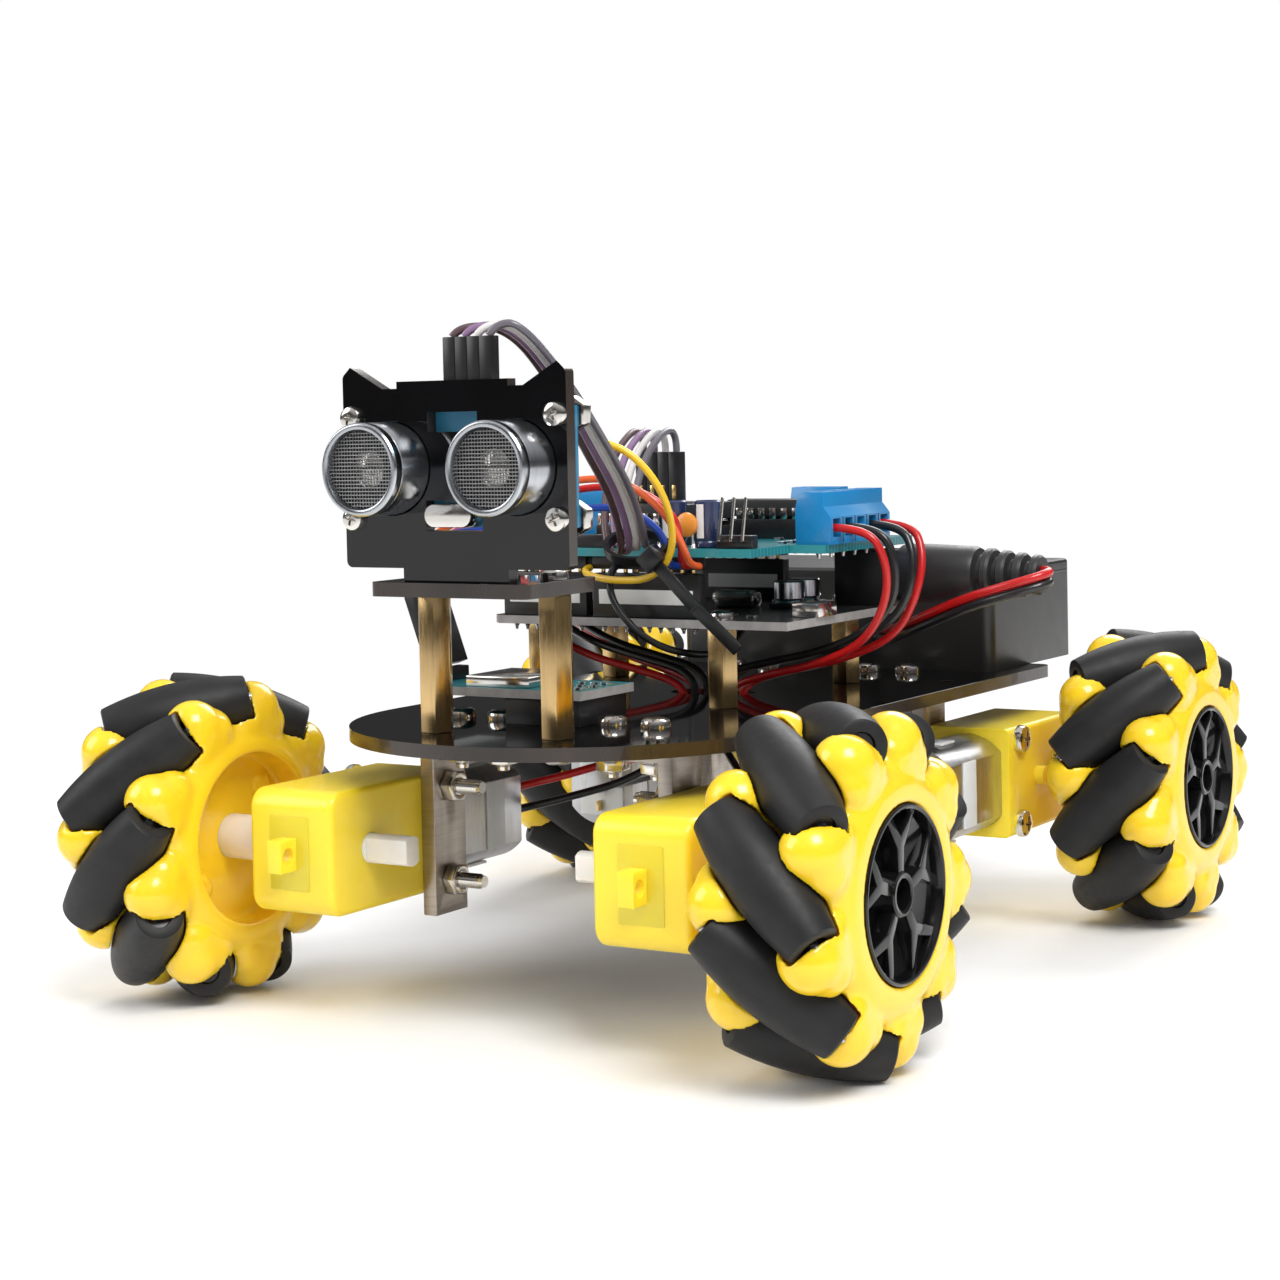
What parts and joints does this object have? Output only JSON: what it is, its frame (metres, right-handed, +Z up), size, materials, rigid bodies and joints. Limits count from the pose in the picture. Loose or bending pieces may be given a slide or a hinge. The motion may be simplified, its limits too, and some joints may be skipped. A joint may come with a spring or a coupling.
{
  "type": "mecanum wheel robot",
  "caption": "Four-wheel-drive robot with barrel-roller mecanum wheels, gear motors, acrylic deck, stacked control boards, ultrasonic sensor and battery box.",
  "frame": {"origin": "on the ground, midway between the four wheels, which is the bottom centre of the bounding box", "axes": "+Z up, +Y towards the back (the robot drives towards -Y), +X towards the left side of the robot"},
  "size_m": [0.159, 0.2034, 0.1237],
  "materials": {
    "roller_rubber": "matt dark grey moulded rubber",
    "hub_plastic": "glossy yellow moulding with a black cap and steel pins",
    "shaft_plastic": "white nylon",
    "chassis_plate": "polished black acrylic",
    "gearbox_housings": "lemon yellow moulding",
    "motor_cans": "plated steel can",
    "motor_brackets": "satin sheet",
    "steel_fasteners": "nickel plated",
    "brass_standoffs": "turned and milled",
    "controller_board": "black solder mask",
    "motor_shield": "teal solder mask",
    "screw_terminals": "blue moulding",
    "sensor_plates": "polished black acrylic",
    "sonar_board": "blue solder mask",
    "sonar_transducers": "polished can",
    "wireless_module": "teal solder mask",
    "battery_box": "satin black moulding",
    "dc_plug": "black moulded PVC",
    "wiring": "PVC insulation"
  },
  "bodies": {
    "chassis": {"chassis_plate": "chassis_plate", "gearbox_housings": "gearbox_housings", "motor_cans": "motor_cans", "motor_brackets": "motor_brackets", "steel_fasteners": "steel_fasteners", "brass_standoffs": "brass_standoffs", "controller_board": "roller_rubber", "motor_shield": "motor_shield", "screw_terminals": "screw_terminals", "sensor_plates": "sensor_plates", "sonar_board": "sonar_board", "sonar_transducers": "sonar_transducers", "wireless_module": "wireless_module", "battery_box": "battery_box", "dc_plug": "dc_plug", "wiring": "wiring"},
    "front_left_wheel": {"front_left_wheel_hub": "hub_plastic", "front_left_drive_shaft": "shaft_plastic"},
    "front_left_roller_1": {"front_left_roller_1": "roller_rubber"},
    "front_left_roller_2": {"front_left_roller_2": "roller_rubber"},
    "front_left_roller_3": {"front_left_roller_3": "roller_rubber"},
    "front_left_roller_4": {"front_left_roller_4": "roller_rubber"},
    "front_left_roller_5": {"front_left_roller_5": "roller_rubber"},
    "front_left_roller_6": {"front_left_roller_6": "roller_rubber"},
    "front_left_roller_7": {"front_left_roller_7": "roller_rubber"},
    "front_left_roller_8": {"front_left_roller_8": "roller_rubber"},
    "front_left_roller_9": {"front_left_roller_9": "roller_rubber"},
    "front_right_wheel": {"front_right_wheel_hub": "hub_plastic", "front_right_drive_shaft": "shaft_plastic"},
    "front_right_roller_1": {"front_right_roller_1": "roller_rubber"},
    "front_right_roller_2": {"front_right_roller_2": "roller_rubber"},
    "front_right_roller_3": {"front_right_roller_3": "roller_rubber"},
    "front_right_roller_4": {"front_right_roller_4": "roller_rubber"},
    "front_right_roller_5": {"front_right_roller_5": "roller_rubber"},
    "front_right_roller_6": {"front_right_roller_6": "roller_rubber"},
    "front_right_roller_7": {"front_right_roller_7": "roller_rubber"},
    "front_right_roller_8": {"front_right_roller_8": "roller_rubber"},
    "front_right_roller_9": {"front_right_roller_9": "roller_rubber"},
    "rear_left_wheel": {"rear_left_wheel_hub": "hub_plastic", "rear_left_drive_shaft": "shaft_plastic"},
    "rear_left_roller_1": {"rear_left_roller_1": "roller_rubber"},
    "rear_left_roller_2": {"rear_left_roller_2": "roller_rubber"},
    "rear_left_roller_3": {"rear_left_roller_3": "roller_rubber"},
    "rear_left_roller_4": {"rear_left_roller_4": "roller_rubber"},
    "rear_left_roller_5": {"rear_left_roller_5": "roller_rubber"},
    "rear_left_roller_6": {"rear_left_roller_6": "roller_rubber"},
    "rear_left_roller_7": {"rear_left_roller_7": "roller_rubber"},
    "rear_left_roller_8": {"rear_left_roller_8": "roller_rubber"},
    "rear_left_roller_9": {"rear_left_roller_9": "roller_rubber"},
    "rear_right_wheel": {"rear_right_wheel_hub": "hub_plastic", "rear_right_drive_shaft": "shaft_plastic"},
    "rear_right_roller_1": {"rear_right_roller_1": "roller_rubber"},
    "rear_right_roller_2": {"rear_right_roller_2": "roller_rubber"},
    "rear_right_roller_3": {"rear_right_roller_3": "roller_rubber"},
    "rear_right_roller_4": {"rear_right_roller_4": "roller_rubber"},
    "rear_right_roller_5": {"rear_right_roller_5": "roller_rubber"},
    "rear_right_roller_6": {"rear_right_roller_6": "roller_rubber"},
    "rear_right_roller_7": {"rear_right_roller_7": "roller_rubber"},
    "rear_right_roller_8": {"rear_right_roller_8": "roller_rubber"},
    "rear_right_roller_9": {"rear_right_roller_9": "roller_rubber"}
  },
  "joints": [
    {"name": "front_left_wheel_spin", "type": "hinge", "parent": "chassis", "child": "front_left_wheel", "pos_m": [0.0665, -0.0717, 0.03], "axis": [1, 0, 0], "continuous": true},
    {"name": "front_left_roller_1_spin", "type": "hinge", "parent": "front_left_wheel", "child": "front_left_roller_1", "pos_m": [0.0665, -0.04788, 0.03297], "axis": [0.7071, -0.0874, 0.7017], "continuous": true},
    {"name": "front_left_roller_2_spin", "type": "hinge", "parent": "front_left_wheel", "child": "front_left_roller_2", "pos_m": [0.0665, -0.05536, 0.04758], "axis": [0.7071, -0.518, 0.4813], "continuous": true},
    {"name": "front_left_roller_3_spin", "type": "hinge", "parent": "front_left_wheel", "child": "front_left_roller_3", "pos_m": [0.0665, -0.07049, 0.05397], "axis": [0.7071, -0.7062, 0.0358], "continuous": true},
    {"name": "front_left_roller_4_spin", "type": "hinge", "parent": "front_left_wheel", "child": "front_left_roller_4", "pos_m": [0.0665, -0.08618, 0.04914], "axis": [0.7071, -0.564, -0.4265], "continuous": true},
    {"name": "front_left_roller_5_spin", "type": "hinge", "parent": "front_left_wheel", "child": "front_left_roller_5", "pos_m": [0.0665, -0.09509, 0.03536], "axis": [0.7071, -0.1579, -0.6893], "continuous": true},
    {"name": "front_left_roller_6_spin", "type": "hinge", "parent": "front_left_wheel", "child": "front_left_roller_6", "pos_m": [0.0665, -0.09307, 0.01907], "axis": [0.7071, 0.3221, -0.6295], "continuous": true},
    {"name": "front_left_roller_7_spin", "type": "hinge", "parent": "front_left_wheel", "child": "front_left_roller_7", "pos_m": [0.0665, -0.08104, 0.00789], "axis": [0.7071, 0.6514, -0.2752], "continuous": true},
    {"name": "front_left_roller_8_spin", "type": "hinge", "parent": "front_left_wheel", "child": "front_left_roller_8", "pos_m": [0.0665, -0.06464, 0.00706], "axis": [0.7071, 0.6758, 0.2079], "continuous": true},
    {"name": "front_left_roller_9_spin", "type": "hinge", "parent": "front_left_wheel", "child": "front_left_roller_9", "pos_m": [0.0665, -0.05155, 0.01696], "axis": [0.7071, 0.3841, 0.5937], "continuous": true},
    {"name": "front_right_wheel_spin", "type": "hinge", "parent": "chassis", "child": "front_right_wheel", "pos_m": [-0.0665, -0.0717, 0.03], "axis": [1, 0, 0], "continuous": true},
    {"name": "front_right_roller_1_spin", "type": "hinge", "parent": "front_right_wheel", "child": "front_right_roller_1", "pos_m": [-0.0665, -0.0916, 0.04342], "axis": [-0.7071, -0.3954, -0.5862], "continuous": true},
    {"name": "front_right_roller_2_spin", "type": "hinge", "parent": "front_right_wheel", "child": "front_right_roller_2", "pos_m": [-0.0665, -0.07832, 0.05307], "axis": [-0.7071, -0.6797, -0.1949], "continuous": true},
    {"name": "front_right_roller_3_spin", "type": "hinge", "parent": "front_right_wheel", "child": "front_right_roller_3", "pos_m": [-0.0665, -0.06194, 0.05193], "axis": [-0.7071, -0.646, 0.2876], "continuous": true},
    {"name": "front_right_roller_4_spin", "type": "hinge", "parent": "front_right_wheel", "child": "front_right_roller_4", "pos_m": [-0.0665, -0.05013, 0.04052], "axis": [-0.7071, -0.31, 0.6355], "continuous": true},
    {"name": "front_right_roller_5_spin", "type": "hinge", "parent": "front_right_wheel", "child": "front_right_roller_5", "pos_m": [-0.0665, -0.04841, 0.02419], "axis": [-0.7071, 0.1711, 0.6861], "continuous": true},
    {"name": "front_right_roller_6_spin", "type": "hinge", "parent": "front_right_wheel", "child": "front_right_roller_6", "pos_m": [-0.0665, -0.05759, 0.01058], "axis": [-0.7071, 0.5721, 0.4156], "continuous": true},
    {"name": "front_right_roller_7_spin", "type": "hinge", "parent": "front_right_wheel", "child": "front_right_roller_7", "pos_m": [-0.0665, -0.07337, 0.00606], "axis": [-0.7071, 0.7054, -0.0493], "continuous": true},
    {"name": "front_right_roller_8_spin", "type": "hinge", "parent": "front_right_wheel", "child": "front_right_roller_8", "pos_m": [-0.0665, -0.08837, 0.01274], "axis": [-0.7071, 0.5087, -0.4912], "continuous": true},
    {"name": "front_right_roller_9_spin", "type": "hinge", "parent": "front_right_wheel", "child": "front_right_roller_9", "pos_m": [-0.0665, -0.09557, 0.02749], "axis": [-0.7071, 0.0739, -0.7032], "continuous": true},
    {"name": "rear_left_wheel_spin", "type": "hinge", "parent": "chassis", "child": "rear_left_wheel", "pos_m": [0.0665, 0.0717, 0.03], "axis": [1, 0, 0], "continuous": true},
    {"name": "rear_left_roller_1_spin", "type": "hinge", "parent": "rear_left_wheel", "child": "rear_left_roller_1", "pos_m": [0.0665, 0.09336, 0.04033], "axis": [0.7071, 0.3044, -0.6382], "continuous": true},
    {"name": "rear_left_roller_2_spin", "type": "hinge", "parent": "rear_left_wheel", "child": "rear_left_roller_2", "pos_m": [0.0665, 0.08165, 0.05184], "axis": [0.7071, 0.6434, -0.2932], "continuous": true},
    {"name": "rear_left_roller_3_spin", "type": "hinge", "parent": "rear_left_wheel", "child": "rear_left_roller_3", "pos_m": [0.0665, 0.06529, 0.05313], "axis": [0.7071, 0.6814, 0.189], "continuous": true},
    {"name": "rear_left_roller_4_spin", "type": "hinge", "parent": "rear_left_wheel", "child": "rear_left_roller_4", "pos_m": [0.0665, 0.05192, 0.04359], "axis": [0.7071, 0.4005, 0.5827], "continuous": true},
    {"name": "rear_left_roller_5_spin", "type": "hinge", "parent": "rear_left_wheel", "child": "rear_left_roller_5", "pos_m": [0.0665, 0.04781, 0.0277], "axis": [0.7071, -0.0678, 0.7039], "continuous": true},
    {"name": "rear_left_roller_6_spin", "type": "hinge", "parent": "rear_left_wheel", "child": "rear_left_roller_6", "pos_m": [0.0665, 0.05488, 0.01288], "axis": [0.7071, -0.5043, 0.4956], "continuous": true},
    {"name": "rear_left_roller_7_spin", "type": "hinge", "parent": "rear_left_wheel", "child": "rear_left_roller_7", "pos_m": [0.0665, 0.06982, 0.00607], "axis": [0.7071, -0.7049, 0.0555], "continuous": true},
    {"name": "rear_left_roller_8_spin", "type": "hinge", "parent": "rear_left_wheel", "child": "rear_left_roller_8", "pos_m": [0.0665, 0.08564, 0.01046], "axis": [0.7071, -0.5757, -0.4106], "continuous": true},
    {"name": "rear_left_roller_9_spin", "type": "hinge", "parent": "rear_left_wheel", "child": "rear_left_roller_9", "pos_m": [0.0665, 0.09494, 0.02399], "axis": [0.7071, -0.177, -0.6846], "continuous": true},
    {"name": "rear_right_wheel_spin", "type": "hinge", "parent": "chassis", "child": "rear_right_wheel", "pos_m": [-0.0665, 0.0717, 0.03], "axis": [1, 0, 0], "continuous": true},
    {"name": "rear_right_roller_1_spin", "type": "hinge", "parent": "rear_right_wheel", "child": "rear_right_roller_1", "pos_m": [-0.0665, 0.04887, 0.03742], "axis": [-0.7071, 0.2185, 0.6725], "continuous": true},
    {"name": "rear_right_roller_2_spin", "type": "hinge", "parent": "rear_right_wheel", "child": "rear_right_roller_2", "pos_m": [-0.0665, 0.05898, 0.05035], "axis": [-0.7071, 0.5997, 0.3747], "continuous": true},
    {"name": "rear_right_roller_3_spin", "type": "hinge", "parent": "rear_right_wheel", "child": "rear_right_roller_3", "pos_m": [-0.0665, 0.07504, 0.05377], "axis": [-0.7071, 0.7002, -0.0984], "continuous": true},
    {"name": "rear_right_roller_4_spin", "type": "hinge", "parent": "rear_right_wheel", "child": "rear_right_roller_4", "pos_m": [-0.0665, 0.08954, 0.04606], "axis": [-0.7071, 0.4731, -0.5255], "continuous": true},
    {"name": "rear_right_roller_5_spin", "type": "hinge", "parent": "rear_right_wheel", "child": "rear_right_roller_5", "pos_m": [-0.0665, 0.09569, 0.03084], "axis": [-0.7071, 0.0247, -0.7067], "continuous": true},
    {"name": "rear_right_roller_6_spin", "type": "hinge", "parent": "rear_right_wheel", "child": "rear_right_roller_6", "pos_m": [-0.0665, 0.09061, 0.01522], "axis": [-0.7071, -0.4353, -0.5572], "continuous": true},
    {"name": "rear_right_roller_7_spin", "type": "hinge", "parent": "rear_right_wheel", "child": "rear_right_roller_7", "pos_m": [-0.0665, 0.07669, 0.00652], "axis": [-0.7071, -0.6917, -0.147], "continuous": true},
    {"name": "rear_right_roller_8_spin", "type": "hinge", "parent": "rear_right_wheel", "child": "rear_right_roller_8", "pos_m": [-0.0665, 0.06043, 0.00881], "axis": [-0.7071, -0.6243, 0.332], "continuous": true},
    {"name": "rear_right_roller_9_spin", "type": "hinge", "parent": "rear_right_wheel", "child": "rear_right_roller_9", "pos_m": [-0.0665, 0.04945, 0.02101], "axis": [-0.7071, -0.2649, 0.6556], "continuous": true}
  ]
}
